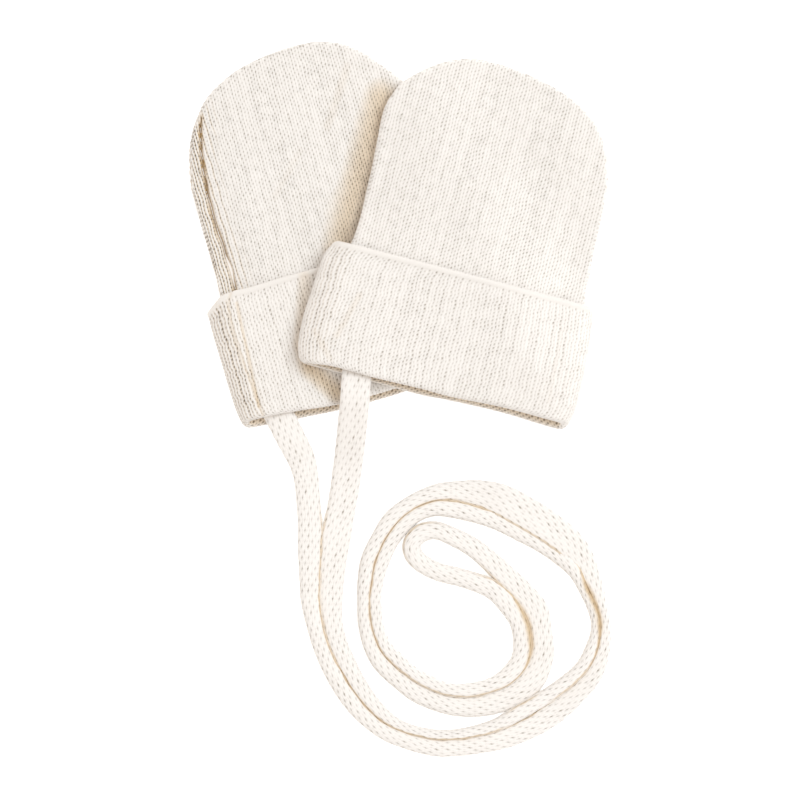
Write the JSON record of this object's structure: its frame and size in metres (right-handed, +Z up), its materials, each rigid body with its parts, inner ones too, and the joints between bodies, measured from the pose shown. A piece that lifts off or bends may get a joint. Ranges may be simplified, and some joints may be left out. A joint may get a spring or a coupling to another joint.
{
  "type": "pair of thumbless mittens",
  "caption": "Pair of knitted thumbless baby mittens with turned-up cuffs, joined by a long flat knitted cord, laid flat with one mitten partly over the other.",
  "frame": {"origin": "centre of the footprint of the two mittens without their cord, on the surface they lie on", "axes": "+Z up from the surface, +Y towards the mittens' closed tops, +X to the right as the pair is seen from above"},
  "size_m": [0.1443, 0.244, 0.022],
  "materials": {
    "left_hand": "fine stocking stitch in soft cream cotton yarn, matt",
    "left_cuff": "the same yarn in a wider, more ribbed stitch, turned up",
    "right_hand": "fine stocking stitch in soft cream cotton yarn, matt",
    "right_cuff": "the same yarn in a wider, more ribbed stitch, turned up",
    "cord": "flat knitted tube in the same cream yarn, matt"
  },
  "bodies": {
    "root": {"left_hand": "left_hand", "left_cuff": "left_cuff", "right_hand": "right_hand", "right_cuff": "right_cuff", "cord": "cord"}
  },
  "joints": []
}
